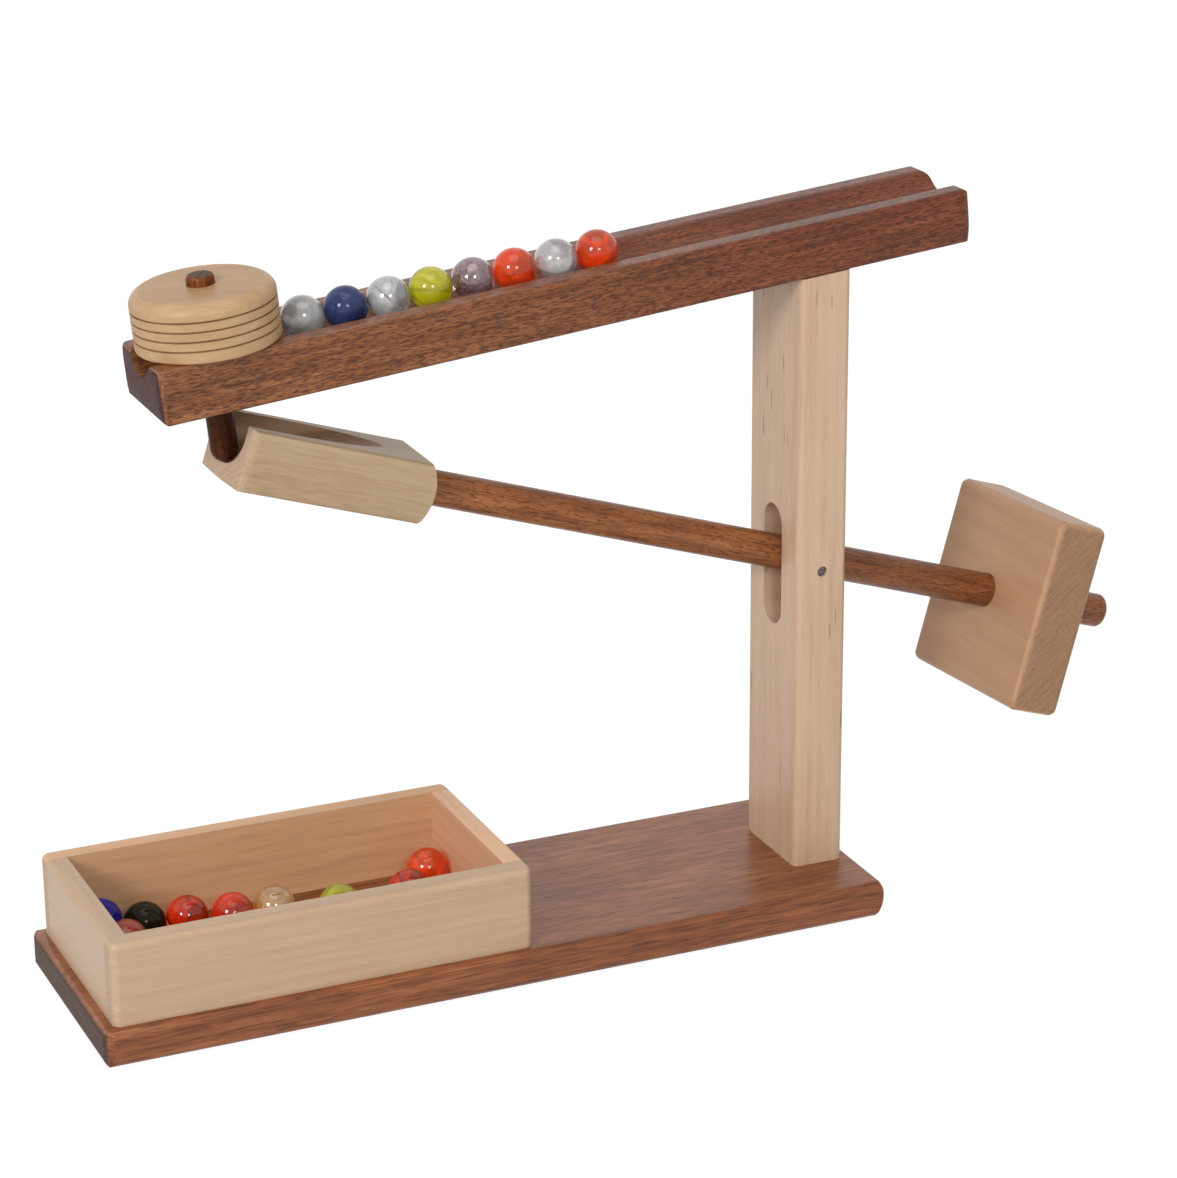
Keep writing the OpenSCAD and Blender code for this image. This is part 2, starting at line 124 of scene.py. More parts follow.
def joinMath(tree, operation, first, second=None, third=None):
    node = addNode(tree, "ShaderNodeMath", operation=operation)
    for place, value in enumerate((first, second, third)):
        if value is None:
            continue
        if isinstance(value, (int, float)):
            node.inputs[place].default_value = value
        else:
            tree.links.new(value, node.inputs[place])
    return node.outputs[0]


def seenDirectly(tree):
    path = addNode(tree, "ShaderNodeLightPath")
    either = joinMath(tree, "MAXIMUM", path.outputs["Is Camera Ray"], path.outputs["Is Glossy Ray"])
    return joinMath(tree, "MAXIMUM", either, path.outputs["Is Transmission Ray"])


def floorMaterial(values):
    material = bpy.data.materials.new("paleFloor")
    material.use_nodes = True
    tree = material.node_tree
    tree.nodes.clear()
    link = tree.links.new
    plain = addNode(tree, "ShaderNodeBsdfDiffuse", {"Color": values["floorTone"]})
    shade = addNode(tree, "ShaderNodeBsdfDiffuse", {"Color": values["floorShade"]})
    glow = addNode(tree, "ShaderNodeEmission", {"Strength": values["floorGlow"]})
    both = addNode(tree, "ShaderNodeAddShader")
    link(shade.outputs[0], both.inputs[0])
    link(glow.outputs[0], both.inputs[1])
    choose = addNode(tree, "ShaderNodeMixShader")
    link(seenDirectly(tree), choose.inputs[0])
    link(plain.outputs[0], choose.inputs[1])
    link(both.outputs[0], choose.inputs[2])
    out = addNode(tree, "ShaderNodeOutputMaterial")
    link(choose.outputs[0], out.inputs["Surface"])
    return material


def buildStudio(values):
    bm = bmesh.new()
    bmesh.ops.create_grid(bm, x_segments=2, y_segments=2, size=values["floorSize"] / 2)
    bmesh.ops.translate(bm, verts=bm.verts, vec=(0, 0, -values["floorDrop"]))
    mesh = bpy.data.meshes.new("paleFloor")
    bm.to_mesh(mesh)
    bm.free()
    floor = bpy.data.objects.new("paleFloor", mesh)
    scene.collection.objects.link(floor)
    mesh.materials.append(floorMaterial(values))

    world = bpy.data.worlds.new("whiteSurround")
    world.use_nodes = True
    scene.world = world
    tree = world.node_tree
    tree.nodes.clear()
    link = tree.links.new
    fill = addNode(tree, "ShaderNodeBackground", {"Strength": values["fillStrength"]})
    fill.inputs["Color"].default_value = values["white"]
    white = addNode(tree, "ShaderNodeBackground", {"Strength": 1.0})
    white.inputs["Color"].default_value = values["white"]
    choose = addNode(tree, "ShaderNodeMixShader")
    link(seenDirectly(tree), choose.inputs[0])
    link(fill.outputs[0], choose.inputs[1])
    link(white.outputs[0], choose.inputs[2])
    out = addNode(tree, "ShaderNodeOutputWorld")
    link(choose.outputs[0], out.inputs["Surface"])

    aim = Vector(values["aim"])
    for name, around, rise, distance, size, watts in values["lamps"]:
        side = radians(cameraView["azimuth"] + around)
        lift = radians(rise)
        toward = Vector((sin(side) * cos(lift), -cos(side) * cos(lift), sin(lift)))
        data = bpy.data.lights.new(name, "AREA")
        data.shape = "DISK"
        data.size = size
        data.energy = watts
        lamp = bpy.data.objects.new(name, data)
        scene.collection.objects.link(lamp)
        lamp.location = aim + toward * distance
        lamp.rotation_euler = toward.to_track_quat("Z", "Y").to_euler()


buildStudio(studioValues)
print("studio built")


# wood finishes: grain runs along X after the turn, and all lengths below are millimetres

alongX = (0, 0, 0)
alongY = (0, 0, radians(-90))
alongZ = (0, radians(90), 0)
alongTrack = (0, trackLine["slope"], 0)
alongArm = (0, -armLine["slope"], 0)
perMetre = (1000, 1000, 1000)
woodValues = {
    "ringScale": 0.314,  # bands of the wave texture for a ring gap of one millimetre
    "ringBend": 9.0,
    "ringDetail": 3.0,
    "ringDetailScale": 0.35,
    "ringStretch": (0.02, 1, 1),
    "fibreScale": (0.05, 2.1, 2.1),
    "cloudScale": (0.010, 0.05, 0.05),
    "toneStops": (0.1, 0.5, 0.9),
    "endFacing": (0.72, 0.93),
    "poreScale": (0.5, 1.6, 1.6),
    "sawScale": (0.5, 0.10, 1.7),
    "sawTilt": 0.6,
    "sawShare": 0.5,
    "endStops": (0.36, 0.64),
    "fibreRough": 0.22,
    "markRough": 0.12,
    "endRough": 0.25,
    "markHeight": -0.8,
    "fibreHeight": 0.5,
    "bumpDepth": 0.0004,
    "coatRough": 0.25,
    "endCoatLoss": 0.85,  # end grain drinks the varnish
}


def stretched(tree, source, scale):
    node = addNode(tree, "ShaderNodeMapping", {"Scale": scale})
    tree.links.new(source, node.inputs["Vector"])
    return node.outputs["Vector"]


def noiseOf(tree, source, scale, detail=2.0, rough=0.5, twist=0.0):
    settings = {"Scale": 1.0, "Detail": detail, "Roughness": rough, "Distortion": twist}
    node = addNode(tree, "ShaderNodeTexNoise", settings)
    tree.links.new(stretched(tree, source, scale), node.inputs["Vector"])
    return node.outputs["Fac"]


def rampOf(tree, source, stops):
    node = addNode(tree, "ShaderNodeValToRGB")
    points = node.color_ramp.elements
    while len(points) < len(stops):
        points.new(0.5)
    for point, (place, colour) in zip(points, stops):
        point.position = place
        point.color = (*colour, 1)
    tree.links.new(source, node.inputs["Fac"])
    return node.outputs["Color"]


def spread(tree, source, low, high):
    settings = {"From Min": low, "From Max": high, "To Min": 0.0, "To Max": 1.0}
    node = addNode(tree, "ShaderNodeMapRange", settings)
    tree.links.new(source, node.inputs["Value"])
    return node.outputs["Result"]


def blendColour(tree, share, first, second, how="MIX"):
    node = addNode(tree, "ShaderNodeMix", data_type="RGBA", blend_type=how)
    tree.links.new(share, node.inputs["Factor"])
    for place, value in ((6, first), (7, second)):
        if isinstance(value, tuple):
            node.inputs[place].default_value = (*value, 1)
        else:
            tree.links.new(value, node.inputs[place])
    return node.outputs[2]


def woodMaterial(name, look):
    material = bpy.data.materials.new(name)
    material.use_nodes = True
    tree = material.node_tree
    link = tree.links.new
    shader = tree.nodes["Principled BSDF"]
    place = addNode(tree, "ShaderNodeTexCoord")
    turn = addNode(tree, "ShaderNodeMapping", {"Scale": perMetre, "Rotation": look["turn"]})
    turn.inputs["Location"].default_value = look.get("shift", (0, 0, 0))
    link(place.outputs["Object"], turn.inputs["Vector"])
    grain = turn.outputs["Vector"]

    rings = addNode(tree, "ShaderNodeTexWave", wave_type="RINGS", rings_direction="X")
    rings.inputs["Scale"].default_value = woodValues["ringScale"] / look["ringGap"]
    rings.inputs["Distortion"].default_value = woodValues["ringBend"]
    rings.inputs["Detail"].default_value = woodValues["ringDetail"]
    rings.inputs["Detail Scale"].default_value = woodValues["ringDetailScale"]
    link(stretched(tree, grain, woodValues["ringStretch"]), rings.inputs["Vector"])
    figure = noiseOf(tree, grain, look["figureScale"], 3.0, 0.55, 0.3)
    fibre = noiseOf(tree, grain, woodValues["fibreScale"], 4.0, 0.62)
    cloud = noiseOf(tree, grain, woodValues["cloudScale"], 2.0, 0.5, 0.4)
    fleck = noiseOf(tree, grain, look["fleckScale"], 2.0, 0.55)

    ringBase = 0.5 - look["ringShare"] / 2
    tone = joinMath(tree, "MULTIPLY_ADD", rings.outputs["Fac"], look["ringShare"], ringBase)
    for layer, share in ((figure, "figureShare"), (fibre, "fibreShare"), (cloud, "cloudShare")):
        tone = joinMath(tree, "MULTIPLY_ADD", layer, look[share] * 2, tone)
        tone = joinMath(tree, "SUBTRACT", tone, look[share])
    shades = (look["deep"], look["middle"], look["pale"])
    colour = rampOf(tree, tone, list(zip(woodValues["toneStops"], shades)))

    marks = spread(tree, fleck, look["fleckFrom"], look["fleckFrom"] + look["fleckFade"])
    marks = joinMath(tree, "MULTIPLY", marks, look["fleckShare"])
    colour = blendColour(tree, marks, colour, look["fleck"])
    if "streak" in look:
        line = noiseOf(tree, grain, look["streakScale"], 1.0, 0.4)
        line = spread(tree, line, look["streakFrom"], look["streakFrom"] + look["streakFade"])
        line = joinMath(tree, "MULTIPLY", line, look["streakShare"])
        colour = blendColour(tree, line, colour, look["streak"])

    # multiplies the colour down towards one end; on the peg that darker lower end is stain plus painted
    # shadow
    if "fade" in look:  # one end of the piece took the stain more than the other
        along = addNode(tree, "ShaderNodeSeparateXYZ")
        link(grain, along.inputs[0])
        slow = spread(tree, along.outputs["X"], *look["fade"])
        colour = blendColour(tree, slow, colour, look["fadeTint"], "MULTIPLY")

    face = addNode(tree, "ShaderNodeMapping", {"Rotation": look["turn"]}, vector_type="NORMAL")
    link(place.outputs["Normal"], face.inputs["Vector"])
    split = addNode(tree, "ShaderNodeSeparateXYZ")
    link(face.outputs["Vector"], split.inputs[0])
    endShare = spread(tree, joinMath(tree, "ABSOLUTE", split.outputs["X"]), *woodValues["endFacing"])
    pore = noiseOf(tree, grain, woodValues["poreScale"], 3.0, 0.6)
    tilt = addNode(tree, "ShaderNodeMapping", {"Rotation": (woodValues["sawTilt"], 0, 0)})
    link(grain, tilt.inputs["Vector"])
    saw = noiseOf(tree, tilt.outputs["Vector"], woodValues["sawScale"], 3.0, 0.6)
    sawShare = woodValues["sawShare"]
    pore = joinMath(tree, "MULTIPLY_ADD", saw, sawShare, joinMath(tree, "MULTIPLY", pore, 1 - sawShare))
    endColour = rampOf(tree, pore, list(zip(woodValues["endStops"], (look["endDeep"], look["endPale"]))))
    colour = blendColour(tree, endShare, colour, endColour)
    link(colour, shader.inputs["Base Color"])

    fibreRough = woodValues["fibreRough"]
    gloss = joinMath(tree, "MULTIPLY_ADD", fibre, fibreRough, look["rough"] - fibreRough / 2)
    gloss = joinMath(tree, "MULTIPLY_ADD", marks, woodValues["markRough"], gloss)
    gloss = joinMath(tree, "MULTIPLY_ADD", endShare, woodValues["endRough"], gloss)
    link(gloss, shader.inputs["Roughness"])
    height = joinMath(tree, "MULTIPLY", fibre, woodValues["fibreHeight"])
    height = joinMath(tree, "MULTIPLY_ADD", marks, woodValues["markHeight"], height)
    bump = addNode(tree, "ShaderNodeBump", {"Strength": look["bump"], "Distance": woodValues["bumpDepth"]})
    link(height, bump.inputs["Height"])
    link(bump.outputs["Normal"], shader.inputs["Normal"])
    shader.inputs["Specular IOR Level"].default_value = look["shine"]
    coatLoss = -woodValues["endCoatLoss"] * look["coat"]
    varnish = joinMath(tree, "MULTIPLY_ADD", endShare, coatLoss, look["coat"])
    link(varnish, shader.inputs["Coat Weight"])
    shader.inputs["Coat Roughness"].default_value = woodValues["coatRough"]
    return material


darkWood = {
    "deep": (0.095, 0.025, 0.007),
    "middle": (0.222, 0.070, 0.020),
    "pale": (0.355, 0.138, 0.054),
    "fleck": (0.042, 0.010, 0.004),
    "streak": (0.050, 0.013, 0.006),
    "endDeep": (0.030, 0.009, 0.008),
    "endPale": (0.110, 0.042, 0.038),
    "ringGap": 4.5,
    "ringShare": 0.10,
    "figureScale": (0.035, 0.42, 0.42),
    "figureShare": 0.40,
    "fibreShare": 0.45,
    "cloudShare": 0.35,
    "fleckScale": (0.36, 2.6, 2.6),
    "fleckFrom": 0.52,
    "fleckFade": 0.11,
    "fleckShare": 0.68,
    "streakScale": (0.07, 1.0, 1.0),
    "streakFrom": 0.60,
    "streakFade": 0.14,
    "streakShare": 0.45,
    "rough": 0.36,
    "bump": 0.30,
    "shine": 0.24,
    "coat": 0.15,
}
lightWood = {
    "deep": (0.415, 0.264, 0.160),
    "middle": (0.505, 0.344, 0.222),
    "pale": (0.580, 0.412, 0.280),
    "fleck": (0.420, 0.265, 0.160),
    "endDeep": (0.420, 0.270, 0.175),
    "endPale": (0.560, 0.400, 0.285),
    "ringGap": 5.0,
    "ringShare": 0.10,
    "figureScale": (0.020, 0.40, 0.40),
    "figureShare": 0.30,
    "fibreShare": 0.26,
    "cloudShare": 0.32,
    "fleckScale": (0.16, 2.2, 2.2),
    "fleckFrom": 0.60,
    "fleckFade": 0.14,
    "fleckShare": 0.40,
    "rough": 0.42,
    "bump": 0.16,
    "shine": 0.35,
    "coat": 0.05,
}


# eased copies of the solids: merged, flat faces joined, sharp edges rounded

copyValues = {
    "merge": 0.002,
    "flatWithin": 0.4,
    "sharpFrom": 38,
    "shadeSharpFrom": 35,
    "normalWeight": 60,
    "straight": 0.95,
}


def easeEdges(bm, edges, width, steps):
    bmesh.ops.bevel(bm, geom=edges, offset=width * mm, offset_type="OFFSET", segments=steps, profile=0.5,
                    affect="EDGES", clamp_overlap=True, material=-1)
    bm.normal_update()


def sharpEdges(bm, wanted):
    found = []
    for edge in bm.edges:
        if len(edge.link_faces) == 2 and edge.calc_face_angle(0) > radians(copyValues["sharpFrom"]):
            if wanted is None or wanted(edge):
                found.append(edge)
    return found


def placePiece(name, bm, node, body):
    mesh = bpy.data.meshes.new(name)
    bm.to_mesh(mesh)
    bm.free()
    for face in mesh.polygons:
        face.use_smooth = True
    mesh.set_sharp_from_angle(angle=radians(copyValues["shadeSharpFrom"]))
    piece = bpy.data.objects.new(name, mesh)
    scene.collection.objects.link(piece)
    even = piece.modifiers.new("evenNormals", "WEIGHTED_NORMAL")
    even.keep_sharp = True
    even.weight = copyValues["normalWeight"]
    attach(piece, body)
    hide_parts(node)
    return piece


def easedCopy(name, node, body, values, wanted=None):
    bm = bmesh.new()
    bm.from_mesh(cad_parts[node].data)
    bmesh.ops.remove_doubles(bm, verts=bm.verts, dist=copyValues["merge"] * mm)
    flatWithin = radians(copyValues["flatWithin"])
    bmesh.ops.dissolve_limit(bm, angle_limit=flatWithin, verts=bm.verts, edges=bm.edges)
    bm.normal_update()
    if values["ease"]:
        easeEdges(bm, sharpEdges(bm, wanted), values["ease"], values.get("steps", 3))
    return placePiece(name, bm, node, body)


def finish(piece, *materials):
    for material in materials:
        piece.data.materials.append(material)


def runsAlong(edge, axis):
    line = (edge.verts[1].co - edge.verts[0].co).normalized()
    return abs(line[axis]) > copyValues["straight"]


def midOf(edge):
    return (edge.verts[0].co + edge.verts[1].co) / 2


# base board

baseValues = {"ease": 0.8, "steps": 3, "easeAbove": 2, "easeLeftOf": 100}  # the right end is round already
baseLook = {**darkWood, "turn": alongX, "shift": (40, 9, 62), "ringGap": 3.4,
            "deep": (0.120, 0.034, 0.010), "middle": (0.262, 0.078, 0.021), "pale": (0.430, 0.168, 0.064),
            "fleckScale": (0.09, 1.6, 1.6), "fleckFade": 0.12, "fleckShare": 0.55, "coat": 0.34,
            "endDeep": (0.026, 0.009, 0.004), "endPale": (0.085, 0.036, 0.019)}


def baseEdge(edge):
    spot = midOf(edge) / mm
    return spot.z > baseValues["easeAbove"] and spot.x < baseValues["easeLeftOf"]


baseBoard = easedCopy("baseBoard", "base_board", "frame", baseValues, baseEdge)
finish(baseBoard, woodMaterial("stainedBase", baseLook))
print("base board done")


# catch box

boxValues = {"corner": 3.0, "cornerSteps": 6, "rim": 2.0, "rimSteps": 5, "inner": 0.5, "innerSteps": 2,
             "topWithin": 0.01}
boxLongLook = {**lightWood, "turn": alongX, "shift": (0, 30, 44)}
boxShortLook = {**lightWood, "turn": alongY, "shift": (0, 150, 44)}
# warmer, brighter copy of the maple for the rear wall: painted bounce light on its inner face
boxRearBounceLitLook = {"deep": (0.475, 0.262, 0.134), "middle": (0.645, 0.376, 0.203),
               "pale": (0.725, 0.452, 0.266)}
# lighter, more orange copy of the maple for the right wall: painted light where the left lamp falls on its
# inner face
boxRightLampLitLook = {"deep": (0.545, 0.300, 0.168), "middle": (0.735, 0.436, 0.258),
                "pale": (0.810, 0.515, 0.330)}


def boxWall(name, node, outward):
    low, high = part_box(node)
    middle = (low + high) / 2
    isLong = abs(outward.y) > 0.5
    length = 0 if isLong else 1
    bm = bmesh.new()
    bmesh.ops.create_cube(bm, size=1.0)
    bmesh.ops.scale(bm, verts=bm.verts, vec=high - low)
    bmesh.ops.translate(bm, verts=bm.verts, vec=middle)

    def outerSide(edge):
        return (midOf(edge) - middle).dot(outward) > 0

    def innerTop(edge):
        return runsAlong(edge, length) and not outerSide(edge)

    def topEdges():
        level = high.z - boxValues["topWithin"] * mm
        return [edge for edge in bm.edges if min(vert.co.z for vert in edge.verts) > level]

    if isLong:
        upright = [edge for edge in bm.edges if runsAlong(edge, 2) and outerSide(edge)]
        easeEdges(bm, upright, boxValues["corner"], boxValues["cornerSteps"])
        rim = [edge for edge in topEdges() if not innerTop(edge)]
    else:
        rim = [edge for edge in topEdges() if runsAlong(edge, length) and outerSide(edge)]
    easeEdges(bm, rim, boxValues["rim"], boxValues["rimSteps"])
    inner = [edge for edge in topEdges() if innerTop(edge)]
    easeEdges(bm, inner, boxValues["inner"], boxValues["innerSteps"])
    return placePiece(name, bm, node, "frame")


boxFront = boxWall("boxFrontWall", "box_front_wall", Vector((0, -1, 0)))
boxRear = boxWall("boxRearWall", "box_rear_wall", Vector((0, 1, 0)))
boxLeft = boxWall("boxLeftWall", "box_left_wall", Vector((-1, 0, 0)))
boxRight = boxWall("boxRightWall", "box_right_wall", Vector((1, 0, 0)))
finish(boxFront, woodMaterial("boxFrontMaple", boxLongLook))
# rear wall takes the copy with painted bounce light
finish(boxRear, woodMaterial("boxRearMapleBounceLit", {**boxLongLook, **boxRearBounceLitLook, "shift": (260, -70, 61)}))
finish(boxLeft, woodMaterial("boxLeftMaple", boxShortLook))
# right wall takes the copy with painted lamp light
finish(boxRight, woodMaterial("boxRightMapleLampLit", {**boxShortLook, **boxRightLampLitLook, "shift": (90, -20, 52)}))
print("catch box done")


# post with its screws, dowels and pin

postValues = {"ease": 1.0, "steps": 3, "corner": 19}
postLook = {
    **lightWood,
    "turn": alongZ,
    "shift": (0, 24, 70),
    "deep": (0.460, 0.298, 0.186),
    "middle": (0.575, 0.396, 0.268),
    "pale": (0.640, 0.458, 0.322),
    "streak": (0.190, 0.095, 0.050),
    "streakScale": (0.05, 0.75, 0.75),
    "streakFrom": 0.72,
    "streakFade": 0.05,
    "streakShare": 0.75,
}


def postCorner(edge):
    return runsAlong(edge, 2) and abs(midOf(edge).y) / mm > postValues["corner"]


post = easedCopy("post", "post", "frame", postValues, postCorner)
finish(post, woodMaterial("postMaple", postLook))
dowels = easedCopy("trackDowels", "track_dowels", "frame", {"ease": 0.8})
finish(dowels, woodMaterial("dowelBirch", {**lightWood, "turn": alongZ}))


def steelMaterial(name, look):
    material = bpy.data.materials.new(name)
    material.use_nodes = True
    tree = material.node_tree
    link = tree.links.new
    shader = tree.nodes["Principled BSDF"]
    place = addNode(tree, "ShaderNodeTexCoord")
    size = addNode(tree, "ShaderNodeMapping", {"Scale": perMetre})
    link(place.outputs["Object"], size.inputs["Vector"])
    tarnish = noiseOf(tree, size.outputs["Vector"], look["tarnishScale"], 4.0, 0.6)
    shades = (look["dull"], look["bright"])
    link(rampOf(tree, tarnish, list(zip(look["tarnishStops"], shades))), shader.inputs["Base Color"])
    gloss = joinMath(tree, "MULTIPLY_ADD", tarnish, look["tarnishRough"], look["rough"])
    link(gloss, shader.inputs["Roughness"])
    bump = addNode(tree, "ShaderNodeBump", {"Strength": look["bump"], "Distance": look["bumpDepth"]})
    link(tarnish, bump.inputs["Height"])
    link(bump.outputs["Normal"], shader.inputs["Normal"])
    shader.inputs["Metallic"].default_value = look["metal"]
    return material


steelLook = {
    "dull": (0.10, 0.085, 0.08),
    "bright": (0.22, 0.20, 0.20),
    "rough": 0.38,
    "tarnishScale": (0.9, 0.9, 0.9),
    "tarnishStops": (0.35, 0.7),
    "tarnishRough": 0.25,
    "bump": 0.15,
    "bumpDepth": 0.0002,
    "metal": 0.9,
}
screws = easedCopy("postScrews", "post_screws", "frame", {"ease": 0.3})
pin = easedCopy("pivotPin", "pivot_pin", "frame", {"ease": 0.35})
steel = steelMaterial("dullSteel", steelLook)
finish(screws, steel)
finish(pin, steel)
print("post done")


# track

trackValues = {"ease": 0.0}  # its edges are round in the solid
trackLook = {**darkWood, "turn": alongTrack, "shift": (0, 16, -180), "ringGap": 4.0,
             "middle": (0.245, 0.083, 0.025), "pale": (0.385, 0.158, 0.066), "coat": 0.24,
             "fleckFrom": 0.50, "fleckFade": 0.07, "fleckShare": 0.74,
             "endDeep": (0.024, 0.006, 0.006), "endPale": (0.085, 0.025, 0.024),
             "fade": (0, 150), "fadeTint": (0.72, 0.50, 0.42)}
track = easedCopy("track", "track", "frame", trackValues)
finish(track, woodMaterial("stainedTrack", trackLook))
print("track done")


# gate: disc with burnt grooves, and the peg

discValues = {
    "ease": 0.0,
    "centre": -101.2,
    "foot": 19.52,
    "top": 19.9,
    "grooveFrom": 3.5,
    "grooveTo": 15.0,
    "grooveInside": 20,
    "rim": 24.75,
    "rimWithin": 0.03,
}
discLook = {
    **lightWood,
    "turn": (0, trackLine["slope"], radians(22)),
    "shift": (0, 20, -215),
    "deep": (0.395, 0.228, 0.108),
    "middle": (0.475, 0.295, 0.154),
    "pale": (0.555, 0.365, 0.208),
    "endDeep": (0.420, 0.252, 0.126),
    "endPale": (0.530, 0.345, 0.192),
    "rough": 0.36,
    "shine": 0.22,
    "coat": 0.04,
}
# darker copy of the disc's maple for its top face: painted shade on the top
discTopShadedLook = {
    **discLook,
    "deep": (0.355, 0.198, 0.092),
    "middle": (0.428, 0.257, 0.131),
    "pale": (0.500, 0.318, 0.177),
}
burntLook = {
    **discLook,
    "deep": (0.130, 0.066, 0.030),
    "middle": (0.215, 0.118, 0.056),
    "pale": (0.300, 0.175, 0.090),
    "endDeep": (0.140, 0.072, 0.032),
    "endPale": (0.260, 0.148, 0.074),
    "rough": 0.6,
    "shine": 0.2,
    "coat": 0.0,
}

disc = easedCopy("gateDisc", "gate_disc", "gate", discValues)
finish(disc, woodMaterial("discMaple", discLook), woodMaterial("burntGroove", burntLook),
       woodMaterial("discTopMapleShaded", discTopShadedLook))
trackBack = trackSpace.inverted()
discFoot = Vector((discValues["centre"], 0, discValues["foot"]))
grooveRim = discValues["rim"] - discValues["rimWithin"]
# groove faces take the burnt finish; faces on top take the darker copy with painted shade
for face in disc.data.polygons:
    spot = (trackBack @ face.center) / mm - discFoot
    reach = sqrt(spot.x ** 2 + spot.y ** 2)
    inBand = discValues["grooveFrom"] < spot.z < discValues["grooveTo"]
    if inBand and discValues["grooveInside"] < reach < grooveRim:
        face.material_index = 1
    elif spot.z > discValues["top"]:
        face.material_index = 2

pegLook = {
    **darkWood,
    "turn": (0, radians(90) + trackLine["slope"], 0),
    "shift": (0, 12, 140),
    "deep": (0.070, 0.018, 0.006),
    "middle": (0.200, 0.062, 0.018),
    "pale": (0.330, 0.125, 0.045),
    # darker lower end of the peg: stain plus painted shadow
    "fade": (246, 226),
    "fadeTint": (0.34, 0.29, 0.29),
    "endDeep": (0.060, 0.036, 0.028),
    "endPale": (0.170, 0.105, 0.086),
    "shine": 0.07,
    "coat": 0.02,
}
peg = easedCopy("gatePeg", "gate_peg", "gate", {"ease": 0.0})
finish(peg, woodMaterial("stainedPegShadedEnd", pegLook))
print("gate done")


# arm: rod, scoop and counterweight

rodLook = {**darkWood, "turn": alongArm, "shift": (0, 30, 5), "ringGap": 3.2,
           "deep": (0.130, 0.035, 0.010), "middle": (0.330, 0.114, 0.034), "pale": (0.480, 0.205, 0.080),
           "fade": (30, 140), "fadeTint": (0.70, 0.64, 0.66)}
rod = easedCopy("armRod", "arm_rod", "arm", {"ease": 0.5})
finish(rod, woodMaterial("stainedRod", rodLook))

scoopValues = {
    "ease": 0.0,
    "left": -229.5,
    "floor": -5.2,
    "ramp": radians(16.1),
    "reach": 10.5,
    "reachWithin": 0.12,
    "grooveFrom": -6,
}
scoopLook = {
    **lightWood,
    "turn": alongArm,
    "shift": (0, 34, -60),
    "deep": (0.320, 0.206, 0.110),
    "middle": (0.430, 0.300, 0.179),
    "pale": (0.490, 0.355, 0.226),
    "figureScale": (0.095, 1.25, 1.25),
    "figureShare": 0.42,
    "fibreShare": 0.24,
}
# darker copy for the inside of the scoop's groove: rough-cut surface plus painted shade in the hollow
grooveRoughCutAndShadedLook = {
    **scoopLook,
    "deep": (0.250, 0.140, 0.070),
    "middle": (0.360, 0.222, 0.124),
    "pale": (0.440, 0.290, 0.175),
    "fleckShare": 0.6,
    "rough": 0.55,
}
scoop = easedCopy("scoop", "scoop", "arm", scoopValues)
finish(scoop, woodMaterial("scoopMaple", scoopLook), woodMaterial("scoopGrooveRoughCutAndShaded", grooveRoughCutAndShadedLook))
grooveSpace = armSpace @ Matrix.Translation(Vector((scoopValues["left"], 0, scoopValues["floor"])) * mm)
grooveSpace = grooveSpace @ Matrix.Rotation(-scoopValues["ramp"], 4, "Y")
grooveBack = grooveSpace.inverted()
# faces on the groove take the darker copy: rough-cut tone plus painted shade
for face in scoop.data.polygons:
    spot = (grooveBack @ face.center) / mm
    reach = sqrt(spot.y ** 2 + min(spot.z - scoopValues["reach"], 0) ** 2)
    onGroove = abs(reach - scoopValues["reach"]) < scoopValues["reachWithin"]
    if onGroove and spot.x > scoopValues["grooveFrom"]:
        face.material_index = 1

weightValues = {"ease": 1.6, "steps": 4, "rim": 20}
weightLook = {
    **lightWood,
    "turn": alongY,
    "shift": (0, -200, -60),
    "deep": (0.340, 0.180, 0.094),
    "middle": (0.435, 0.240, 0.130),
    "pale": (0.505, 0.298, 0.172),
    "endDeep": (0.240, 0.126, 0.064),
    "endPale": (0.385, 0.218, 0.122),
    "figureScale": (0.022, 0.55, 0.55),
    "figureShare": 0.20,
    "cloudShare": 0.20,
}
armBack = armSpace.inverted()


def weightRim(edge):
    spot = (armBack @ midOf(edge)) / mm
    return max(abs(spot.y), abs(spot.z)) > weightValues["rim"]


weight = easedCopy("counterweight", "counterweight", "weight", weightValues, weightRim)
finish(weight, woodMaterial("weightMaple", weightLook))
print("arm done")


# marbles: a glass ball with twisted vanes of coloured glass inside

marbleSize = {"radius": 7.6, "around": 48, "up": 28}
vaneValues = {
    "reach": 0.72,  # of the ball's radius
    "across": 7,
    "along": 18,
    "halfWidth": 0.5,
    "middle": 0.54,
    "taper": 0.93,
    "curl": 0.5,
    "height": 0.98,
    "leanStep": (0.7, -0.45),  # from one marble to the next
    "cloudScale": (0.5, 0.5, 0.5),
    "cloudStops": (0.35, 0.65),
    "cloudRough": 0.2,
    "rough": 0.3,
}
glassValues = {
    "turn": (0.4, 0.7, 0.2),
    "swirlScale": (0.05, 0.22, 0.22),
    "swirlStops": (0.36, 0.5, 0.64),
    "shine": 0.5,
    "coat": 0.0,
    "coatRough": 0.03,
    "skinScale": (0.35, 0.35, 0.35),
    "skinRough": 0.05,
    "bump": 0.05,
    "bumpDepth": 0.0003,
    "index": 1.5,
    "opaqueBelow": 0.3,
}


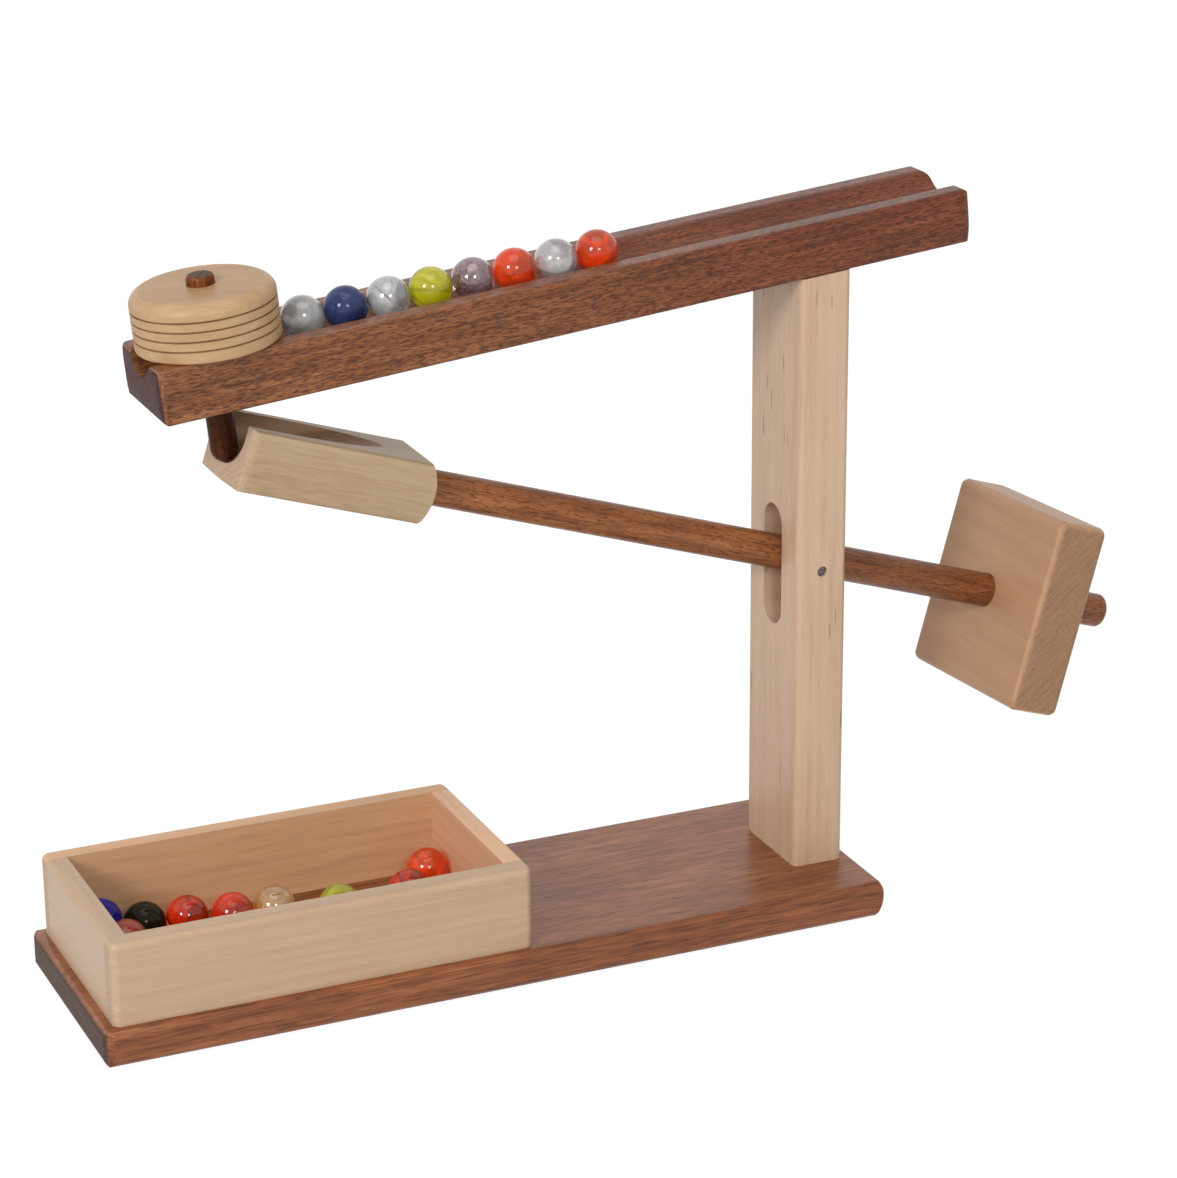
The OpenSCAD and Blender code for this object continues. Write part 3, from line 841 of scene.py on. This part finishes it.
def glassMaterial(name, ownLook):
    look = {**glassValues, **ownLook}
    material = bpy.data.materials.new(name)
    material.use_nodes = True
    tree = material.node_tree
    link = tree.links.new
    shader = tree.nodes["Principled BSDF"]
    place = addNode(tree, "ShaderNodeTexCoord")
    size = addNode(tree, "ShaderNodeMapping", {"Scale": perMetre})
    size.inputs["Rotation"].default_value = look["turn"]
    link(place.outputs["Object"], size.inputs["Vector"])
    swirl = noiseOf(tree, size.outputs["Vector"], look["swirlScale"], 3.0, 0.55, 1.2)
    shades = (look["deep"], look["middle"], look["pale"])
    colour = rampOf(tree, swirl, list(zip(look["swirlStops"], shades)))
    if "vein" in look:
        course = noiseOf(tree, size.outputs["Vector"], look["veinScale"], 2.0, 0.5, 0.5)
        away = joinMath(tree, "ABSOLUTE", joinMath(tree, "SUBTRACT", course, look["veinAt"]))
        colour = blendColour(tree, spread(tree, away, look["veinWidth"], 0.0), colour, look["vein"])
    link(colour, shader.inputs["Base Color"])
    skin = noiseOf(tree, size.outputs["Vector"], look["skinScale"], 2.0, 0.5)
    gloss = joinMath(tree, "MULTIPLY_ADD", skin, look["skinRough"], look["haze"])
    link(gloss, shader.inputs["Roughness"])
    bump = addNode(tree, "ShaderNodeBump", {"Strength": look["bump"], "Distance": look["bumpDepth"]})
    link(skin, bump.inputs["Height"])
    link(bump.outputs["Normal"], shader.inputs["Normal"])
    shader.inputs["IOR"].default_value = look["index"]
    shader.inputs["Transmission Weight"].default_value = look["clear"]
    shader.inputs["Specular IOR Level"].default_value = look["shine"]
    shader.inputs["Coat Weight"].default_value = look["coat"]
    shader.inputs["Coat Roughness"].default_value = look["coatRough"]
    if look["clear"] < look["opaqueBelow"]:
        return material
    through = addNode(tree, "ShaderNodeBsdfTransparent", {"Color": (*look["pass"], 1)})
    path = addNode(tree, "ShaderNodeLightPath")
    choose = addNode(tree, "ShaderNodeMixShader")
    link(path.outputs["Is Shadow Ray"], choose.inputs[0])
    link(shader.outputs[0], choose.inputs[1])
    link(through.outputs[0], choose.inputs[2])
    link(choose.outputs[0], tree.nodes["Material Output"].inputs["Surface"])
    return material


def vaneMaterial(name, look):
    material = bpy.data.materials.new(name)
    material.use_nodes = True
    tree = material.node_tree
    link = tree.links.new
    shader = tree.nodes["Principled BSDF"]
    place = addNode(tree, "ShaderNodeTexCoord")
    size = addNode(tree, "ShaderNodeMapping", {"Scale": perMetre})
    link(place.outputs["Object"], size.inputs["Vector"])
    cloud = noiseOf(tree, size.outputs["Vector"], vaneValues["cloudScale"], 3.0, 0.6, 0.8)
    shades = (look["vaneDeep"], look["vanePale"])
    link(rampOf(tree, cloud, list(zip(vaneValues["cloudStops"], shades))), shader.inputs["Base Color"])
    gloss = joinMath(tree, "MULTIPLY_ADD", cloud, vaneValues["cloudRough"], vaneValues["rough"])
    link(gloss, shader.inputs["Roughness"])
    return material


def ballMesh(name, centre):
    bm = bmesh.new()
    bmesh.ops.create_uvsphere(bm, u_segments=marbleSize["around"], v_segments=marbleSize["up"],
                              radius=marbleSize["radius"] * mm)
    bmesh.ops.translate(bm, verts=bm.verts, vec=centre)
    mesh = bpy.data.meshes.new(name)
    bm.to_mesh(mesh)
    bm.free()
    for face in mesh.polygons:
        face.use_smooth = True
    return mesh


def vaneMesh(name, centre, look):
    count, twist, lean = look["vanes"]
    bm = bmesh.new()
    radius = marbleSize["radius"] * vaneValues["reach"] * mm
    across, along = vaneValues["across"], vaneValues["along"]
    for index in range(count):
        made = bmesh.ops.create_grid(bm, x_segments=across, y_segments=along, size=1.0)
        for vert in made["verts"]:
            high = vert.co.y
            wide = vert.co.x * vaneValues["halfWidth"] + vaneValues["middle"]
            out = wide * sqrt(max(0.0, 1.0 - high * high * vaneValues["taper"]))
            turn = 2 * pi * index / count + twist * high + vaneValues["curl"] * out
            vert.co = Vector((out * cos(turn), out * sin(turn), high * vaneValues["height"])) * radius
    bmesh.ops.recalc_face_normals(bm, faces=bm.faces)
    bmesh.ops.solidify(bm, geom=bm.faces[:], thickness=look["vaneThick"] * mm)
    bmesh.ops.rotate(bm, verts=bm.verts, cent=(0, 0, 0), matrix=Matrix.Rotation(lean[0], 3, "X"))
    bmesh.ops.rotate(bm, verts=bm.verts, cent=(0, 0, 0), matrix=Matrix.Rotation(lean[1], 3, "Y"))
    bmesh.ops.translate(bm, verts=bm.verts, vec=centre)
    mesh = bpy.data.meshes.new(name)
    bm.to_mesh(mesh)
    bm.free()
    for face in mesh.polygons:
        face.use_smooth = True
    return mesh


redGlass = {
    "deep": (0.70, 0.086, 0.012),
    "middle": (0.77, 0.112, 0.018),
    "pale": (0.84, 0.165, 0.036),
    "pass": (0.95, 0.45, 0.28),
    "swirlScale": (0.03, 0.10, 0.10),
    "clear": 0.62,
    "haze": 0.05,
    "shine": 0.22,
    "coat": 0.06,
    "vaneDeep": (0.62, 0.086, 0.012),
    "vanePale": (0.78, 0.150, 0.030),
    "vanes": (3, 0.9, (0.5, 0.3)),
    "vaneThick": 1.5,
    "slot": "glass_red",
}
boxRedGlass = {**redGlass, "deep": (0.58, 0.055, 0.006), "middle": (0.65, 0.074, 0.009),
               "pale": (0.74, 0.12, 0.022), "clear": 0.78, "haze": 0.03, "shine": 0.16, "coat": 0.03,
               "vaneDeep": (0.56, 0.05, 0.004), "vanePale": (0.72, 0.10, 0.010)}
clearGlass = {
    "deep": (0.44, 0.44, 0.43),
    "middle": (0.48, 0.48, 0.47),
    "pale": (0.56, 0.56, 0.55),
    "pass": (0.85, 0.85, 0.84),
    "clear": 0.55,
    "haze": 0.20,
    "coat": 1.0,
    "vaneDeep": (0.50, 0.50, 0.49),
    "vanePale": (0.68, 0.68, 0.67),
    "vanes": (2, 1.6, (0.9, 0.2)),
    "vaneThick": 0.4,
    "slot": "glass_clear",
}
veinGlass = {**clearGlass, "deep": (0.42, 0.42, 0.43), "middle": (0.46, 0.46, 0.47),
             "pale": (0.50, 0.50, 0.51), "clear": 0.66, "haze": 0.10,
             "vein": (0.04, 0.04, 0.05), "veinScale": (0.06, 0.06, 0.06), "veinAt": 0.5, "veinWidth": 0.009,
             "vaneDeep": (0.5, 0.5, 0.5), "vanePale": (0.7, 0.7, 0.7)}
milkGlass = {**clearGlass, "deep": (0.44, 0.42, 0.42), "middle": (0.51, 0.49, 0.49),
             "pale": (0.60, 0.58, 0.58), "clear": 0.60, "haze": 0.24, "vanes": (3, 0.9, (1.3, 0.4))}
violetGlass = {**clearGlass, "deep": (0.36, 0.23, 0.25), "middle": (0.52, 0.37, 0.40),
               "pale": (0.66, 0.54, 0.56), "clear": 0.85, "haze": 0.04,
               "vein": (0.12, 0.03, 0.04), "veinScale": (0.08, 0.08, 0.08), "veinAt": 0.5,
               "veinWidth": 0.014, "vaneDeep": (0.13, 0.05, 0.06),
               "vanePale": (0.34, 0.24, 0.26), "vanes": (2, 1.0, (0.3, 0.8)), "vaneThick": 0.5,
               "slot": "glass_violet"}
amberGlass = {**clearGlass, "deep": (0.57, 0.35, 0.13), "middle": (0.67, 0.43, 0.18),
              "pale": (0.78, 0.55, 0.28), "pass": (0.95, 0.82, 0.60), "clear": 0.60, "haze": 0.10,
              "vaneDeep": (0.60, 0.42, 0.20), "vanePale": (0.74, 0.56, 0.32), "slot": "glass_amber"}
greenGlass = {
    "deep": (0.47, 0.44, 0.008),
    "middle": (0.56, 0.53, 0.014),
    "pale": (0.66, 0.63, 0.050),
    "pass": (0.92, 0.92, 0.50),
    "swirlScale": (0.03, 0.12, 0.12),
    "clear": 0.55,
    "haze": 0.04,
    "shine": 0.25,
    "coat": 0.14,
    "vaneDeep": (0.40, 0.38, 0.006),
    "vanePale": (0.56, 0.54, 0.02),
    "vanes": (3, 1.0, (0.8, -0.3)),
    "vaneThick": 1.6,
    "slot": "glass_yellow_green",
}
darkRedGlass = {**redGlass, "deep": (0.40, 0.050, 0.012), "middle": (0.52, 0.085, 0.022),
                "pale": (0.60, 0.130, 0.042), "vaneDeep": (0.30, 0.03, 0.01),
                "vanePale": (0.42, 0.08, 0.03), "slot": "glass_dark_red"}
slateGlass = {
    "deep": (0.019, 0.026, 0.086),
    "middle": (0.023, 0.032, 0.108),
    "pale": (0.034, 0.046, 0.136),
    "clear": 0.0,
    "haze": 0.02,
    "shine": 0.25,
    "turn": (0.1, 1.4, 0.3),
    "swirlScale": (0.030, 0.26, 0.26),
    "slot": "glass_slate",
}
blueGlass = {**slateGlass, "deep": (0.016, 0.008, 0.15), "middle": (0.026, 0.013, 0.24),
             "pale": (0.050, 0.035, 0.36), "shine": 0.2, "slot": "glass_blue"}
blackGlass = {**slateGlass, "deep": (0.010, 0.007, 0.002), "middle": (0.015, 0.010, 0.003),
              "pale": (0.028, 0.022, 0.008), "shine": 0.12, "slot": "glass_black"}

queueLooks = [clearGlass, slateGlass, veinGlass, greenGlass, violetGlass, redGlass, milkGlass, redGlass]
trayLooks = [blueGlass, darkRedGlass, blackGlass, boxRedGlass, boxRedGlass, amberGlass, greenGlass,
             boxRedGlass, redGlass]
madeGlass = {}


def addMarble(node, look, order):
    low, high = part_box(node)
    centre = (low + high) / 2
    label = node.title().replace("_", "")
    label = label[0].lower() + label[1:]
    key = look["slot"] + "_" + str(int(look["haze"] * 100))
    if key not in madeGlass:
        madeGlass[key] = (glassMaterial("ball_" + key, look),
                          vaneMaterial("vane_" + key, look) if "vanes" in look else None)
    ballGlass, vaneGlass = madeGlass[key]
    ball = bpy.data.objects.new(label, ballMesh(label, centre))
    scene.collection.objects.link(ball)
    finish(ball, ballGlass)
    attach(ball, node + "_body")
    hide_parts(node)
    if vaneGlass is None:
        return
    count, twist, lean = look["vanes"]
    stepX, stepY = vaneValues["leanStep"]
    own = {**look, "vanes": (count, twist, (lean[0] + stepX * order, lean[1] + stepY * order))}
    vane = bpy.data.objects.new(label + "Vanes", vaneMesh(label + "Vanes", centre, own))
    scene.collection.objects.link(vane)
    finish(vane, vaneGlass)
    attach(vane, node + "_body")


for order, look in enumerate(queueLooks):
    addMarble(f"queue_marble_{order + 1}", look, order)
for order, look in enumerate(trayLooks):
    addMarble(f"tray_marble_{order + 1}", look, order + len(queueLooks))
print("marbles done")


# end of the scene build

print("scene built")
